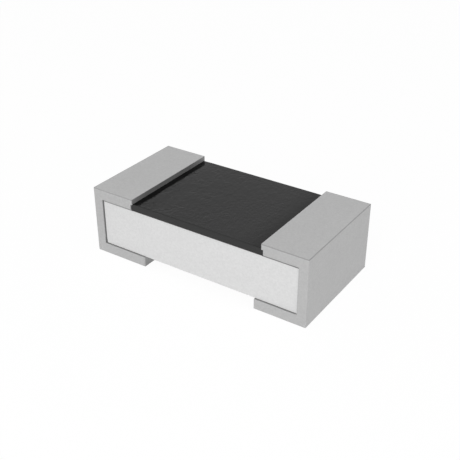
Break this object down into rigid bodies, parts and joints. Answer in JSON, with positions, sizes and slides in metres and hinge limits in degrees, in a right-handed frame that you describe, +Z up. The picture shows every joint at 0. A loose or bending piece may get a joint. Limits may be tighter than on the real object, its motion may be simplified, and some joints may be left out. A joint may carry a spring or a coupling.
{
  "type": "chip resistor",
  "caption": "Surface-mount thick-film chip resistor: white ceramic plate, black coated top and a wrap-around solderable terminal at each end.",
  "frame": {"origin": "middle of the part: the centre of its length, width and height, which is the point that placement data give for such a part; the solder plane is 0.235 mm below it", "axes": "+X along the length towards the terminal on the viewer's right, -Y the long front face, +Z up from the solder plane to the coated top"},
  "size_m": [0.0016, 0.0008, 0.0004],
  "materials": {
    "alumina": "matte fired ceramic with a fine grain",
    "silver_print": "fired silver paste, dull",
    "resistive_paste": "fired metal-oxide film, satin",
    "glass_glaze": "fired glaze, glossy",
    "resin_coat": "cured black resin with a fine wrinkle",
    "edge_alloy": "dipped conductive edge, dull",
    "nickel": "plated nickel, satin",
    "matte_tin": "matte tin plating with a fine crystal grain"
  },
  "bodies": {
    "root": {"ceramic_substrate": "alumina", "left_top_electrode": "silver_print", "right_top_electrode": "silver_print", "left_bottom_electrode": "silver_print", "right_bottom_electrode": "silver_print", "resistive_film": "resistive_paste", "glass_overcoat": "glass_glaze", "protective_coat": "resin_coat", "left_edge_electrode": "edge_alloy", "right_edge_electrode": "edge_alloy", "left_nickel_barrier": "nickel", "right_nickel_barrier": "nickel", "left_tin_plating": "matte_tin", "right_tin_plating": "matte_tin"}
  },
  "joints": []
}
